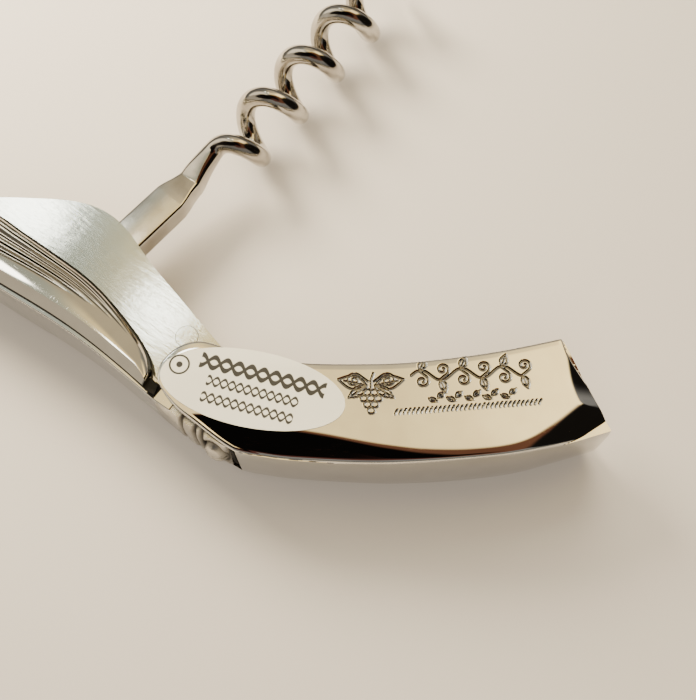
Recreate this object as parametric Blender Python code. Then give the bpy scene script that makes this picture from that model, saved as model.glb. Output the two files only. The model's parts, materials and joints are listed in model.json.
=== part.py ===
"""Single-lever pocket corkscrew, lying on its side with the worm and the lever opened.

The handle is a stack of layers in Z: two liners with the springs, the spacer, the worm's
tang and the foil blade between them, and a scale and a rear bolster on the outside of each
liner. The lever is a channel whose two cheeks straddle the nose of the handle.

Handle pieces are drawn in the handle's own frame, in millimetres: the lever's hinge is at
0, 0, the handle runs towards -X and its belly, where the worm folds, looks to +Y. Lever,
worm and blade each have a frame of their own on their hinge, with the piece towards +X.
"""

import math

import bmesh
import bpy
from mathutils import Matrix, Vector

MM = 0.001

# Layers, as distances from the middle plane in Z.
HALF_THICKNESS = 6.5
CORE_HALF = 1.85
LINER_INNER = 2.15
LINER_OUTER = 4.2
SCALE_INNER = 4.5
CHEEK_INNER = 5.0
HEAD_HALF = 4.7

# Angles in degrees. The lever lies along +X, so the handle is turned away from it.
HANDLE_TURN = -37.0
WORM_OPEN = 86.0
LEVER_OPEN = -HANDLE_TURN

# Hinges and rivets in the handle's frame.
LEVER_HINGE = (0.0, 0.0)
WORM_HINGE = (-22.9, 3.4)
BLADE_HINGE = (-103.0, -4.6)
FRONT_RIVET = (-4.6, 2.5)
SPRING_RIVETS = {"spring_rivet_front": (-10.0, -5.25), "spring_rivet_rear": (-36.0, -6.8)}
HANDLE_RIVETS = {"handle_rivet_front": (-54.0, -8.3), "handle_rivet_rear": (-82.0, -4.0)}

PIN_RADIUS = 1.35
SMALL_PIN_RADIUS = 0.8
PIN_EDGE = 0.12
BORE_CLEARANCE = 0.3
FIT_GAP = 0.3
PIN_SIDES = 24

# Half lengths of the pins. Their ends stay just under the faces that they pass through.
LEVER_PIN_HALF = HALF_THICKNESS - 0.05
LINER_PIN_HALF = LINER_OUTER - 0.02
SCALE_PIN_HALF = 6.1
BLADE_PIN_HALF = 5.9

# Washers: their radius, and the heights that they fill over the middle plane.
WASHER_RADIUS = 2.9
LEVER_WASHER = (4.42, 4.78)
BLADE_WASHER = (1.35, 1.9)

CUTTER_HALF = 9.0

# Handle outline: the belly from the butt to the nose, and the back from the nose to the butt.
LINER_HUMP = [(-13.6, 7.3), (-16.0, 7.9), (-19.3, 9.0), (-21.8, 9.7), (-24.3, 10.1), (-27.0, 9.95),
              (-29.5, 9.25), (-32.2, 7.9), (-36.0, 5.4), (-39.8, 2.7), (-43.0, 0.1), (-47.0, -2.0),
              (-60.0, -2.7), (-80.0, -2.6), (-91.0, -1.5), (-97.0, -0.1), (-102.0, 0.4),
              (-106.5, -0.9), (-109.8, -4.2), (-110.6, -8.0), (-108.4, -11.2), (-103.0, -12.4),
              (-96.0, -12.3), (-80.0, -11.6), (-60.0, -10.3), (-45.0, -9.1), (-31.5, -7.85),
              (-21.5, -6.9), (-15.0, -6.6), (-8.6, -6.75), (-4.4, -6.95)]
LINER_STEP = (-2.0, -4.2)
LINER_CORNER = (-4.4, -4.9)
NOSE_RADIUS = 10.1
NOSE_CORNERS = [(9.7, 1.6), (8.6, 2.16)]

SCALE_BELLY = [(-91.7, -1.7), (-80.0, -2.5), (-60.0, -2.6), (-50.0, -2.2), (-44.0, -0.9),
               (-38.0, 0.25), (-32.4, 0.45), (-27.6, 0.6), (-22.0, 0.7), (-17.9, 0.35),
               (-13.5, -0.5), (-9.2, -1.66), (-6.6, -2.7), (-4.9, -3.9), (-4.1, -5.0)]
SCALE_BACK = [(-91.7, -11.8), (-80.0, -11.2), (-60.0, -9.9), (-45.0, -8.6), (-31.5, -7.2),
              (-21.5, -6.2), (-15.0, -5.95), (-8.6, -6.15), (-4.1, -6.5)]
BOLSTER_BELLY = [(-110.3, -7.0), (-109.7, -4.6), (-106.4, -1.2), (-102.0, 0.1), (-97.0, -0.35),
                 (-92.2, -1.35)]
BOLSTER_BACK = [(-110.3, -8.0), (-109.4, -9.9), (-107.8, -11.3), (-103.0, -12.1), (-96.0, -12.0),
                (-92.2, -11.85)]

# Main spring: a bar along the back and a wide head between the lever's cheeks.
SPRING_BACK = [(-59.0, -10.1), (-45.0, -9.1), (-31.5, -7.85), (-21.5, -6.9), (-15.0, -6.6),
               (-8.6, -6.75), (-2.0, -7.0)]
SPRING_DEPTH = 2.9
HEAD_OUTLINE = [(-1.7, -7.15), (3.0, -7.25), (7.0, -6.95), (10.6, -6.3), (7.9, -4.55),
                (-1.7, -4.55)]
SPACER_LEFT = -12.0
SPACER_BOTTOM = -3.4
BLADE_SPRING = [(-98.6, -0.9), (-91.0, -1.8), (-80.0, -2.7), (-60.0, -2.8), (-57.0, -2.8),
                (-57.0, -5.3), (-80.0, -5.4), (-92.0, -5.0), (-98.6, -4.4)]

# Worm: a flat tang with an eye, a neck, and a helix that ends in a point.
TANG_HALF_WIDTH = 2.6
TANG_EYE_RADIUS = 3.3
TANG_END = 14.6
NECK_HALF_WIDTH = 1.15
NECK_END = 19.6
WIRE_START = 17.0
COIL_START = 18.8
COIL_FULL = 31.0
COIL_END = 71.0
COIL_PITCH = 9.5
COIL_CREST = 26.7
COIL_LEAD = 52.0
COIL_DRIFT = 0.088
COIL_CROSSING = 41.0
COIL_RADIUS = 3.45
WIRE_RADIUS = 1.42
POINT_LENGTH = 6.5
POINT_RADIUS = 0.12
WIRE_SIDES = 10
POINTS_PER_TURN = 22

# Lever outline in its own frame: belly edge, tip, back, and the heel round the hinge.
LEVER_BELLY = [(0.0, 3.3), (2.8, 2.6), (6.4, 1.2), (13.2, 0.3), (19.0, 0.12), (26.2, 0.26),
               (32.8, 0.96), (39.3, 1.93), (47.6, 3.7)]
LEVER_TIP = [(47.6, 3.7), (48.3, 1.2), (50.2, -2.0), (52.6, -5.2), (54.2, -6.8), (54.4, -7.6),
             (53.2, -8.6)]
LEVER_BACK = [(53.2, -8.6), (43.6, -11.3), (35.0, -12.5), (24.0, -13.1), (13.0, -12.55),
              (8.5, -12.0), (5.0, -11.3)]
LEVER_HEEL = [(3.2, -9.4), (0.2, -8.0), (-2.4, -6.0), (-4.6, -3.4), (-5.2, -1.2), (-4.4, 1.0),
              (-2.6, 2.7), (0.0, 3.3)]
WALL_THICKNESS = 1.6
BACK_ROUNDING = 1.3

LABEL_CENTRE = (7.1, -3.4)
LABEL_HALF_LENGTH = 12.2
LABEL_HALF_WIDTH = 5.2
LABEL_TILT = -12.0
LABEL_THICKNESS = 0.15

BLADE_HALF = 1.1
BLADE_OUTLINE = [(-3.2, -1.8), (0.0, -7.6), (6.0, -8.3), (18.0, -8.0), (30.0, -7.3), (38.0, -6.1),
                 (42.0, -4.6), (40.5, -3.6), (36.0, -3.2), (26.0, -3.1), (14.0, -3.0), (6.0, -2.0),
                 (3.4, 0.6), (1.6, 2.9), (-1.4, 3.1), (-3.2, 1.4)]


def clear_scene():
    for item in list(bpy.data.objects):
        bpy.data.objects.remove(item, do_unlink=True)


def steel(name, shade, roughness):
    material = bpy.data.materials.new(name)
    material.use_nodes = True
    shader = material.node_tree.nodes["Principled BSDF"]
    shader.inputs["Base Color"].default_value = (shade, shade * 0.98, shade * 0.93, 1.0)
    shader.inputs["Metallic"].default_value = 1.0
    shader.inputs["Roughness"].default_value = roughness
    return material


def label_stock():
    material = bpy.data.materials.new("label_stock")
    material.use_nodes = True
    shader = material.node_tree.nodes["Principled BSDF"]
    shader.inputs["Base Color"].default_value = (0.72, 0.72, 0.69, 1.0)
    shader.inputs["Roughness"].default_value = 0.45
    return material


def empty(name, parent, place, turn):
    holder = bpy.data.objects.new(name, None)
    bpy.context.collection.objects.link(holder)
    holder.parent = parent
    holder.location = (place[0] * MM, place[1] * MM, 0.0)
    holder.rotation_euler = (0.0, 0.0, math.radians(turn))
    return holder


def add_object(name, mesh_builder, parent, material):
    mesh = bpy.data.meshes.new(name)
    bmesh.ops.recalc_face_normals(mesh_builder, faces=mesh_builder.faces)
    mesh_builder.to_mesh(mesh)
    mesh_builder.free()
    mesh.shade_smooth()
    mesh.set_sharp_from_angle(angle=math.radians(32.0))
    mesh.materials.append(material)
    piece = bpy.data.objects.new(name, mesh)
    bpy.context.collection.objects.link(piece)
    piece.parent = parent
    return piece


def smooth(points, steps=4):
    """Points on a Catmull-Rom curve through the given ones, its two ends included."""
    ends = [points[0]] + list(points) + [points[-1]]
    curve = []
    for before, start, end, after in zip(ends, ends[1:], ends[2:], ends[3:]):
        for step in range(steps):
            t = step / steps
            curve.append(tuple(
                0.5 * (2 * b + (c - a) * t + (2 * a - 5 * b + 4 * c - d) * t ** 2
                       + (3 * b - a - 3 * c + d) * t ** 3)
                for a, b, c, d in zip(before, start, end, after)))
    return curve + [tuple(points[-1])]


def height_at(points, x):
    """Height of a smooth curve at x, for points in order of x."""
    curve = smooth(points, 6)
    for (x0, y0), (x1, y1) in zip(curve, curve[1:]):
        if x0 <= x <= x1 and x1 > x0:
            return y0 + (y1 - y0) * (x - x0) / (x1 - x0)
    return curve[-1][1] if x > curve[-1][0] else curve[0][1]


def arc(centre, radius, start, end, count):
    angles = [math.radians(start + (end - start) * step / count) for step in range(count + 1)]
    return [(centre[0] + radius * math.cos(a), centre[1] + radius * math.sin(a)) for a in angles]


def circle(centre, radius, sides=PIN_SIDES):
    return arc(centre, radius, 0.0, 360.0, sides)[:-1]


def without_repeats(outline):
    kept = [point for point, before in zip(outline, [outline[-1]] + outline)
            if math.dist(point, before) > 0.02]
    return kept


def slab_mesh(outline, bores, low, high):
    """A flat plate between two heights, with round bores through it."""
    builder = bmesh.new()
    loops = [without_repeats(outline)] + [circle(centre, radius) for centre, radius in bores]
    edges = []
    for loop in loops:
        corners = [builder.verts.new((x * MM, y * MM, low * MM)) for x, y in loop]
        edges += [builder.edges.new(pair) for pair in zip(corners, corners[1:] + corners[:1])]
    bmesh.ops.triangle_fill(builder, use_beauty=True, edges=edges)
    raised = bmesh.ops.extrude_face_region(builder, geom=builder.faces[:])
    tops = [item for item in raised["geom"] if isinstance(item, bmesh.types.BMVert)]
    bmesh.ops.translate(builder, verts=tops, vec=(0.0, 0.0, (high - low) * MM))
    return builder


def slab(name, outline, bores, low, high, parent, material):
    return add_object(name, slab_mesh(outline, bores, low, high), parent, material)


def soften(piece, width, segments=1):
    edge = piece.modifiers.new("edges", "BEVEL")
    edge.width = width * MM
    edge.segments = segments
    edge.limit_method = "ANGLE"
    edge.angle_limit = math.radians(50.0)
    return piece


def boolean(piece, tool, operation):
    cut = piece.modifiers.new(operation.lower(), "BOOLEAN")
    cut.operation = operation
    cut.object = tool
    tool.hide_render = True
    tool.display_type = "WIRE"


def pin(name, centre, radius, half_length, parent, material):
    return soften(slab(name, circle(centre, radius), [], -half_length, half_length, parent,
                       material), PIN_EDGE)


def washer(name, centre, low, high, parent, material):
    bore = [(centre, PIN_RADIUS + BORE_CLEARANCE)]
    return slab(name, circle(centre, WASHER_RADIUS), bore, low, high, parent, material)


def crowned(name, belly, back, side, crown, parent, material, bores, stations=34, across=8):
    """A scale or bolster: flat inside, and a crown outside between its belly and back edges."""
    builder = bmesh.new()
    start, end = belly[0][0], belly[-1][0]
    inner, outer = [], []
    for station in range(stations + 1):
        x = start + (end - start) * station / stations
        low, high = height_at(back, x), height_at(belly, x)
        row_in, row_out = [], []
        for step in range(across + 1):
            t = step / across
            y = low + (high - low) * t
            row_in.append(builder.verts.new((x * MM, y * MM, side * SCALE_INNER * MM)))
            row_out.append(builder.verts.new((x * MM, y * MM, side * crown(t) * MM)))
        inner.append(row_in)
        outer.append(row_out)
    for near, far in zip(range(stations), range(1, stations + 1)):
        for a, b in zip(range(across), range(1, across + 1)):
            builder.faces.new((inner[near][a], inner[near][b], inner[far][b], inner[far][a]))
            builder.faces.new((outer[near][a], outer[far][a], outer[far][b], outer[near][b]))
        for edge in (0, across):
            builder.faces.new((inner[near][edge], inner[far][edge], outer[far][edge],
                               outer[near][edge]))
    for row in (0, stations):
        for a, b in zip(range(across), range(1, across + 1)):
            builder.faces.new((inner[row][a], inner[row][b], outer[row][b], outer[row][a]))
    piece = add_object(name, builder, parent, material)
    for number, (centre, radius) in enumerate(bores):
        tool = add_object(name + "_bore_" + str(number),
                          slab_mesh(circle(centre, radius), [], -CUTTER_HALF, CUTTER_HALF),
                          parent, material)
        boolean(piece, tool, "DIFFERENCE")
    return piece


def scale_crown(t):
    """Height over the middle plane across a scale, from its back edge (0) to its belly (1)."""
    rise = math.sin(math.pi * min(1.0, 0.12 + 0.80 * t)) ** 0.5
    return SCALE_INNER + 0.5 + (HALF_THICKNESS - SCALE_INNER - 0.5) * rise


def liner_outline():
    start = math.degrees(math.asin(LINER_STEP[1] / NOSE_RADIUS))
    nose = arc(LEVER_HINGE, NOSE_RADIUS, start, 6.0, 6)
    return nose + NOSE_CORNERS + smooth(LINER_HUMP, 3) + [LINER_CORNER, LINER_STEP]


def make_liners(handle, metal):
    bores = [(LEVER_HINGE, PIN_RADIUS + BORE_CLEARANCE), (WORM_HINGE, PIN_RADIUS + BORE_CLEARANCE),
             (BLADE_HINGE, PIN_RADIUS + BORE_CLEARANCE),
             (FRONT_RIVET, PIN_RADIUS + BORE_CLEARANCE)]
    small = list(SPRING_RIVETS.values()) + list(HANDLE_RIVETS.values())
    bores += [(place, SMALL_PIN_RADIUS + BORE_CLEARANCE) for place in small]
    slab("liner_left", liner_outline(), bores, LINER_INNER, LINER_OUTER, handle, metal)
    slab("liner_right", liner_outline(), bores, -LINER_OUTER, -LINER_INNER, handle, metal)


def make_scales(handle, metal):
    bores = [(place, SMALL_PIN_RADIUS + BORE_CLEARANCE) for place in HANDLE_RIVETS.values()]
    pivot = [(BLADE_HINGE, PIN_RADIUS + BORE_CLEARANCE)]
    for side, word in ((1, "left"), (-1, "right")):
        crowned("scale_" + word, SCALE_BELLY, SCALE_BACK, side, scale_crown, handle, metal, bores)
        crowned("rear_bolster_" + word, BOLSTER_BELLY, BOLSTER_BACK, side, scale_crown, handle,
                metal, pivot, stations=14)


def make_springs(handle, metal):
    bar_top = [(x, y + SPRING_DEPTH) for x, y in smooth(SPRING_BACK, 3)]
    bar = smooth(SPRING_BACK, 3) + [(0.5, -6.9), (0.5, -5.0)] + bar_top[-3::-1]
    rivets = [(SPRING_RIVETS[name], SMALL_PIN_RADIUS + BORE_CLEARANCE) for name in SPRING_RIVETS]
    rivets.append((HANDLE_RIVETS["handle_rivet_front"], SMALL_PIN_RADIUS + BORE_CLEARANCE))
    spring = slab("back_spring", bar, rivets, -CORE_HALF, CORE_HALF, handle, metal)
    back = smooth(HEAD_OUTLINE[:4], 3)
    head = slab("spring_head_tool", back + HEAD_OUTLINE[4:], [], -HEAD_HALF, HEAD_HALF, handle,
                metal)
    boolean(spring, head, "UNION")
    upper = smooth(BLADE_SPRING[:4], 3)
    lower = smooth(BLADE_SPRING[6:], 3)
    outline = upper + BLADE_SPRING[4:6] + lower
    bore = [(HANDLE_RIVETS["handle_rivet_rear"], SMALL_PIN_RADIUS + BORE_CLEARANCE)]
    slab("blade_spring", outline, bore, -CORE_HALF, CORE_HALF, handle, metal)


def make_spacer(handle, metal):
    radius = NOSE_RADIUS - FIT_GAP
    start = math.degrees(math.asin(SPACER_BOTTOM / radius))
    nose = arc(LEVER_HINGE, radius, start, 6.0, 6)
    outline = nose + [(8.2, 1.9), (SPACER_LEFT, 6.5), (SPACER_LEFT, SPACER_BOTTOM)]
    bores = [(LEVER_HINGE, PIN_RADIUS + BORE_CLEARANCE), (FRONT_RIVET, PIN_RADIUS + BORE_CLEARANCE)]
    slab("front_spacer", outline, bores, -CORE_HALF, CORE_HALF, handle, metal)


def make_pins(handle, metal):
    pin("lever_pin", LEVER_HINGE, PIN_RADIUS, LEVER_PIN_HALF, handle, metal)
    pin("worm_pin", WORM_HINGE, PIN_RADIUS, LINER_PIN_HALF, handle, metal)
    pin("blade_pin", BLADE_HINGE, PIN_RADIUS, BLADE_PIN_HALF, handle, metal)
    pin("front_rivet", FRONT_RIVET, PIN_RADIUS, LINER_PIN_HALF, handle, metal)
    for name, place in SPRING_RIVETS.items():
        pin(name, place, SMALL_PIN_RADIUS, LINER_PIN_HALF, handle, metal)
    for name, place in HANDLE_RIVETS.items():
        pin(name, place, SMALL_PIN_RADIUS, SCALE_PIN_HALF, handle, metal)


def make_washers(handle, metal):
    for name, centre, (low, high) in (("lever_washer_", LEVER_HINGE, LEVER_WASHER),
                                      ("blade_washer_", BLADE_HINGE, BLADE_WASHER)):
        washer(name + "left", centre, low, high, handle, metal)
        washer(name + "right", centre, -high, -low, handle, metal)


def tang_outline():
    eye = arc((0.0, 0.0), TANG_EYE_RADIUS, 52.0, 308.0, 16)
    lower = [(4.2, -TANG_HALF_WIDTH), (TANG_END, -TANG_HALF_WIDTH),
             (16.6, -1.75), (NECK_END, -NECK_HALF_WIDTH)]
    upper = [(x, -y) for x, y in reversed(lower)]
    return eye + lower + upper


def coil_turn(along):
    """Angle of the wire round the coil's axis, which lags before the first crest."""
    turn = 2.0 * math.pi * (along - COIL_CREST) / COIL_PITCH
    lead = math.radians(COIL_LEAD)
    return turn if turn > 0.0 else lead * math.tanh(turn / lead)


def coil_reach(along):
    """Distance of the wire from the coil's axis, which grows from the neck onwards."""
    ramp = min(1.0, max(0.0, (along - COIL_START) / (COIL_FULL - COIL_START)))
    soft = ramp * ramp / (ramp + 0.08) * 1.08
    return COIL_RADIUS * (1.0 - (1.0 - soft) ** 2)


def coil_axis(along):
    """Sideways place of the coil's axis, which leans a little away from the tang's."""
    ramp = min(1.0, max(0.0, (along - COIL_START) / (COIL_CREST - COIL_START)))
    return COIL_DRIFT * (along - COIL_CROSSING) * ramp * ramp * (3.0 - 2.0 * ramp)


def wire_path():
    """Centre line of the wire and its radius, from inside the neck to the point."""
    count = int((COIL_END - WIRE_START) / COIL_PITCH * POINTS_PER_TURN)
    path = []
    for step in range(count + 1):
        along = WIRE_START + (COIL_END - WIRE_START) * step / count
        left = max(0.0, (along - COIL_END + POINT_LENGTH) / POINT_LENGTH)
        radius = WIRE_RADIUS * (1.0 - left ** 1.4) + POINT_RADIUS * left
        reach = coil_reach(along) * (1.0 - 0.16 * left)
        turn = coil_turn(along)
        side = coil_axis(along) - math.sin(turn) * reach
        path.append((Vector((along, side, math.cos(turn) * reach)), radius))
    return path


def wire_mesh():
    builder = bmesh.new()
    path = wire_path()
    rings = []
    for index, (centre, radius) in enumerate(path):
        before = path[max(0, index - 1)][0]
        after = path[min(len(path) - 1, index + 1)][0]
        ahead = (after - before).normalized()
        side = ahead.cross(Vector((1.0, 0.0, 0.0)))
        if side.length < 0.05:
            side = Vector((0.0, 1.0, 0.0))
        side = (side - ahead * side.dot(ahead)).normalized()
        across = ahead.cross(side)
        ring = []
        for corner in range(WIRE_SIDES):
            angle = 2.0 * math.pi * corner / WIRE_SIDES
            point = centre + (side * math.cos(angle) + across * math.sin(angle)) * radius
            ring.append(builder.verts.new(point * MM))
        rings.append(ring)
    for near, far in zip(rings, rings[1:]):
        for a in range(WIRE_SIDES):
            b = (a + 1) % WIRE_SIDES
            builder.faces.new((near[a], near[b], far[b], far[a]))
    builder.faces.new(rings[0])
    builder.faces.new(rings[-1])
    return builder


def make_worm(hinge, metal):
    bore = [((0.0, 0.0), PIN_RADIUS + BORE_CLEARANCE)]
    worm = slab("worm", tang_outline(), bore, -CORE_HALF, CORE_HALF, hinge, metal)
    wire = add_object("worm_wire_tool", wire_mesh(), hinge, metal)
    boolean(worm, wire, "UNION")


def lever_outline():
    return (smooth(LEVER_BELLY, 3) + smooth(LEVER_TIP, 3)[1:] + smooth(LEVER_BACK, 3)[1:]
            + smooth(LEVER_HEEL, 3))


def channel_outline():
    """The space between the cheeks, open at the belly, at the tip and at the heel."""
    floor = [(x, y + WALL_THICKNESS) for x, y in smooth(LEVER_BACK, 3)]
    tip = [(70.0, 12.0), (70.0, floor[0][1] + 2.0)]
    heel = [(2.9, -12.4), (-12.0, -12.4), (-12.0, 12.0)]
    return tip + floor[:-1] + heel


def make_lever(hinge, metal):
    builder = slab_mesh(lever_outline(), [(LEVER_HINGE, PIN_RADIUS + BORE_CLEARANCE)],
                        -HALF_THICKNESS, HALF_THICKNESS)
    last = LEVER_BACK[-1][0] * MM
    rim = [edge for edge in builder.edges
           if abs(edge.verts[0].co.z - edge.verts[1].co.z) < 1e-7 and not edge.is_boundary
           and edge.calc_face_angle(0.0) > 1.0
           and all(vert.co.y < -8.0 * MM and vert.co.x > last - 1e-7 for vert in edge.verts)]
    bmesh.ops.bevel(builder, geom=rim, offset=BACK_ROUNDING * MM, segments=3, profile=0.5,
                    affect="EDGES")
    lever = add_object("lever", builder, hinge, metal)
    channel = slab("lever_channel_tool", channel_outline(), [], -CHEEK_INNER, CHEEK_INNER, hinge,
                   metal)
    boolean(lever, channel, "DIFFERENCE")


def make_label(hinge, stock):
    tilt = Matrix.Rotation(math.radians(LABEL_TILT), 2)
    outline = []
    for x, y in circle((0.0, 0.0), 1.0, 40):
        turned = tilt @ Vector((x * LABEL_HALF_LENGTH, y * LABEL_HALF_WIDTH))
        outline.append((LABEL_CENTRE[0] + turned.x, LABEL_CENTRE[1] + turned.y))
    low = HALF_THICKNESS + 0.1
    slab("oval_label", outline, [], low, low + LABEL_THICKNESS, hinge, stock)


def make_blade(hinge, metal):
    outline = smooth(BLADE_OUTLINE + BLADE_OUTLINE[:1], 3)[:-1]
    bore = [((0.0, 0.0), PIN_RADIUS + BORE_CLEARANCE)]
    slab("foil_blade", outline, bore, -BLADE_HALF, BLADE_HALF, hinge, metal)


def stand_on_origin(root):
    """Moves the whole part so that the middle of its box's base is at the origin."""
    bpy.context.view_layer.update()
    graph = bpy.context.evaluated_depsgraph_get()
    corners = []
    for item in bpy.data.objects:
        if item.type == "MESH" and not item.hide_render:
            shape = item.evaluated_get(graph)
            corners += [shape.matrix_world @ vert.co for vert in shape.data.vertices]
    low = [min(corner[axis] for corner in corners) for axis in range(3)]
    high = [max(corner[axis] for corner in corners) for axis in range(3)]
    root.location = (-(low[0] + high[0]) / 2, -(low[1] + high[1]) / 2, -low[2])
    bpy.context.view_layer.update()


def main():
    clear_scene()
    polished = steel("polished_steel", 0.72, 0.12)
    satin = steel("satin_steel", 0.62, 0.28)
    root = empty("corkscrew", None, (0.0, 0.0), 0.0)
    handle = empty("handle", root, (0.0, 0.0), HANDLE_TURN)
    make_liners(handle, satin)
    make_scales(handle, polished)
    make_springs(handle, polished)
    make_spacer(handle, satin)
    make_pins(handle, polished)
    make_washers(handle, satin)
    make_worm(empty("worm_hinge", handle, WORM_HINGE, WORM_OPEN), satin)
    make_blade(empty("blade_hinge", handle, BLADE_HINGE, 0.0), satin)
    lever_hinge = empty("lever_hinge", handle, LEVER_HINGE, LEVER_OPEN)
    make_lever(lever_hinge, polished)
    make_label(lever_hinge, label_stock())
    stand_on_origin(root)


main()
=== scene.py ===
"""Looks of a pocket corkscrew that lies on its side with its worm and lever opened.

Shapes are drawn in millimetres in the frame of the piece that they belong to: the handle's and
the lever's frames have the lever's hinge at 0, 0, the worm's and the blade's their own hinge.
Z is counted from the middle plane, which the steel stack is laid up on.
"""

import json
import math

import bmesh
import bpy
import numpy as np
from mathutils import Matrix, Vector


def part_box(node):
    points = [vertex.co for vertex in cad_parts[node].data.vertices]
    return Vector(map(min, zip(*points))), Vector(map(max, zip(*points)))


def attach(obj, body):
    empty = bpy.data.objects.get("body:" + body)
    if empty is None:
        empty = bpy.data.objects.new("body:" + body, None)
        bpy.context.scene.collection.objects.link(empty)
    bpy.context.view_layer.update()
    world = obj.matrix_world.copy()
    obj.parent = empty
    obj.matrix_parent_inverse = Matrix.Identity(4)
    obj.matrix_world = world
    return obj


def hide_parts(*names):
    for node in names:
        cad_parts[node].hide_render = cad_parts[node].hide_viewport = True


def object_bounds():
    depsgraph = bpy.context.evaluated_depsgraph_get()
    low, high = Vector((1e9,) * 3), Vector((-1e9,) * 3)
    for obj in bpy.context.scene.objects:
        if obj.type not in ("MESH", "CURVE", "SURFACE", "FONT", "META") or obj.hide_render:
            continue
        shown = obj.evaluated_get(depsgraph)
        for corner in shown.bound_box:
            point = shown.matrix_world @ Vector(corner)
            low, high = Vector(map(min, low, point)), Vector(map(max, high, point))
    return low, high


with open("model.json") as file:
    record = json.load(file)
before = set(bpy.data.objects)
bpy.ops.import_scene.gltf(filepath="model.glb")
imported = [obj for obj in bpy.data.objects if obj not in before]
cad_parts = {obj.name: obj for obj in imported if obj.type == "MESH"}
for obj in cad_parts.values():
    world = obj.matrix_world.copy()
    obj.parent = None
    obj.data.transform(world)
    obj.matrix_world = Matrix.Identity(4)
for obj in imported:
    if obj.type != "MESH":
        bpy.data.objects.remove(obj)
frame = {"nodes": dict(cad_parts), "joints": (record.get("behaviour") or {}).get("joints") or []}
CAD_LOW, CAD_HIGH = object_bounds()

MM = 0.001
HINGES = {joint["name"]: Vector(joint["pos_m"]) for joint in frame["joints"]}
HANDLE_TURN = math.radians(-37.0)
WORM_TURN = math.radians(49.0)
LEVER_FRAME = Matrix.Translation(HINGES["lever_hinge"])
HANDLE_FRAME = LEVER_FRAME @ Matrix.Rotation(HANDLE_TURN, 4, "Z")
WORM_FRAME = Matrix.Translation(HINGES["worm_hinge"]) @ Matrix.Rotation(WORM_TURN, 4, "Z")
BLADE_FRAME = Matrix.Translation(HINGES["blade_hinge"]) @ Matrix.Rotation(HANDLE_TURN, 4, "Z")


def in_handle(hinge):
    place = HANDLE_FRAME.inverted() @ HINGES[hinge]
    return place.x / MM, place.y / MM


def centre_in_handle(node):
    low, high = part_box(node)
    place = HANDLE_FRAME.inverted() @ ((low + high) / 2)
    return place.x / MM, place.y / MM


BLADE_PIVOT = in_handle("blade_hinge")

# Half thicknesses of the stack, read from the frame.
HALF = (CAD_LOW.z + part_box("lever")[1].z) / 2 / MM
MIDDLE_Z = HINGES["lever_hinge"].z
LINER_OUTER = (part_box("liner_left")[1].z - MIDDLE_Z) / MM
LINER_INNER = (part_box("liner_left")[0].z - MIDDLE_Z) / MM
SCALE_INNER = (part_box("scale_left")[0].z - MIDDLE_Z) / MM
CORE_HALF = (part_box("worm")[1].z - MIDDLE_Z) / MM
CHEEK_INNER = 5.0
WALL = 1.6

# Handle outlines, from the butt to the nose along the belly and back along the back.
HUMP_LINE = [(-13.6, 7.3), (-16.0, 7.9), (-19.3, 9.0), (-21.8, 9.7), (-24.3, 10.1), (-27.0, 9.95),
             (-29.5, 9.25), (-32.2, 7.9), (-36.0, 5.4), (-39.8, 2.7), (-43.0, 0.1), (-47.0, -2.0),
             (-60.0, -2.7), (-80.0, -2.6), (-91.0, -1.5), (-97.0, -0.1), (-102.0, 0.4),
             (-106.5, -0.9), (-109.8, -4.2), (-110.6, -8.0), (-108.4, -11.2), (-103.0, -12.4),
             (-96.0, -12.3), (-80.0, -11.6), (-60.0, -10.3), (-45.0, -9.1), (-31.5, -7.85),
             (-21.5, -6.9), (-15.0, -6.6), (-8.6, -6.75), (-3.2, -6.98)]
LINER_STEP = (-2.0, -4.2)
CORNER = (-3.2, -4.9)
NOSE_RADIUS = 10.1
SCALE_BELLY = [(-91.7, -1.7), (-80.0, -2.5), (-60.0, -2.6), (-50.0, -2.2), (-44.0, -0.9),
               (-38.0, 0.25), (-32.4, 0.45), (-27.6, 0.6), (-22.0, 0.7), (-17.9, 0.35),
               (-13.5, -0.5), (-9.2, -1.66), (-6.6, -2.7), (-4.9, -3.9), (-4.1, -5.0)]
SCALE_BACK = [(-91.7, -11.8), (-80.0, -11.2), (-60.0, -9.9), (-45.0, -8.6), (-31.5, -7.2),
              (-21.5, -6.2), (-15.0, -5.95), (-8.6, -6.15), (-4.1, -6.5)]
BOLSTER_BELLY = [(-110.3, -7.2), (-110.1, -5.9), (-109.3, -4.0), (-106.4, -1.2), (-102.0, 0.1),
                 (-97.0, -0.35), (-92.2, -1.35)]
BOLSTER_BACK = [(-110.3, -7.6), (-110.1, -8.6), (-109.2, -10.2), (-107.4, -11.4),
                (-103.0, -12.1), (-96.0, -12.0), (-92.2, -11.85)]
SPRING_BACK = [(-59.0, -10.1), (-45.0, -9.1), (-31.5, -7.85), (-21.5, -6.9), (-15.0, -6.6),
               (-8.6, -6.75), (-2.0, -7.0)]
SPRING_DEPTH = 2.9
HEAD_BACK = [(-2.3, -7.1), (3.0, -7.25), (7.0, -6.95), (9.4, -6.5)]
HEAD_TOP = -4.55
HEAD_HALF = 4.7
BAR_END = [(0.5, -6.9), (0.5, -5.0)]

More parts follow.
